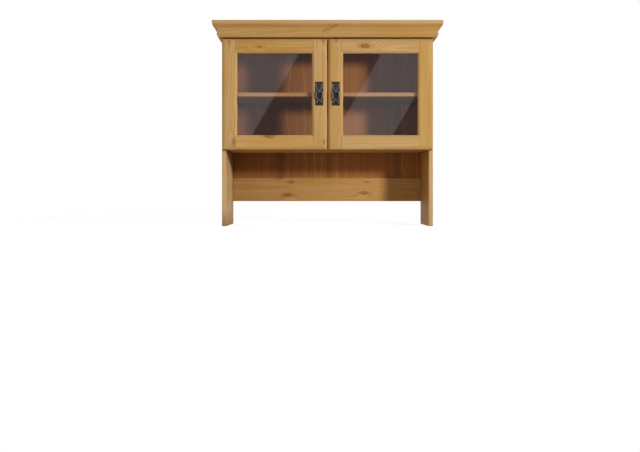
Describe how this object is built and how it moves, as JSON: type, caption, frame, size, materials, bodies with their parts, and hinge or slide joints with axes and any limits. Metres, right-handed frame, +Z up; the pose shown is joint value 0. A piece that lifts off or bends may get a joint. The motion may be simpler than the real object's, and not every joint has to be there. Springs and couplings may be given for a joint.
{
  "type": "hutch cabinet",
  "caption": "Pine buffet top unit: glazed frame doors with ring handles under a mitred cove cornice, shelf inside, open niche and plank feet below.",
  "frame": {"origin": "centre of the bounding box at floor level", "axes": "+X to the right when facing the doors, +Y to the back, +Z up"},
  "size_m": [0.972, 0.36, 0.868],
  "materials": {
    "pine": "honey waxed knotty pine",
    "stained_ply": "red-brown stained plywood",
    "steel": "zinc plated",
    "bronze": "dark antique bronze, worn on the high spots",
    "glass": "clear float glass"
  },
  "bodies": {
    "carcass": {"left_side_panel": "pine", "right_side_panel": "pine", "top_board": "pine", "bottom_panel": "pine", "shelf": "pine", "back_rail": "pine", "top_front_rail": "pine", "frieze_rail": "pine", "cornice_front": "pine", "cornice_left": "pine", "cornice_right": "pine", "back_panel": "stained_ply", "shelf_pins": "steel", "catch_magnets": "steel", "left_hinge_arms": "steel", "left_hinge_screws": "steel", "right_hinge_arms": "steel", "right_hinge_screws": "steel"},
    "left_door": {"left_hinge_stile": "pine", "left_lock_stile": "pine", "left_top_rail": "pine", "left_bottom_rail": "pine", "left_glass": "glass", "left_glass_beads": "pine", "left_hinge_housings": "steel", "left_hinge_pins": "steel", "left_housing_screws": "steel", "left_strike_plate": "steel", "left_handle_plate": "bronze", "left_handle_post": "bronze", "left_handle_screws": "bronze"},
    "right_door": {"right_hinge_stile": "pine", "right_lock_stile": "pine", "right_top_rail": "pine", "right_bottom_rail": "pine", "right_glass": "glass", "right_glass_beads": "pine", "right_hinge_housings": "steel", "right_hinge_pins": "steel", "right_housing_screws": "steel", "right_strike_plate": "steel", "right_handle_plate": "bronze", "right_handle_post": "bronze", "right_handle_screws": "bronze"},
    "left_ring": {"left_handle_ring": "bronze"},
    "right_ring": {"right_handle_ring": "bronze"}
  },
  "joints": [
    {"name": "left_door_swing", "type": "hinge", "parent": "carcass", "child": "left_door", "pos_m": [-0.438, -0.133, 0.5605], "axis": [0, 0, -1], "range_deg": [0, 105]},
    {"name": "left_ring_swing", "type": "hinge", "parent": "left_door", "child": "left_ring", "pos_m": [-0.035, -0.1519, 0.5715], "axis": [-1, 0, 0], "range_deg": [0, 100]},
    {"name": "right_door_swing", "type": "hinge", "parent": "carcass", "child": "right_door", "pos_m": [0.438, -0.133, 0.5605], "axis": [0, 0, 1], "range_deg": [0, 105]},
    {"name": "right_ring_swing", "type": "hinge", "parent": "right_door", "child": "right_ring", "pos_m": [0.035, -0.1519, 0.5715], "axis": [-1, 0, 0], "range_deg": [0, 100]}
  ]
}
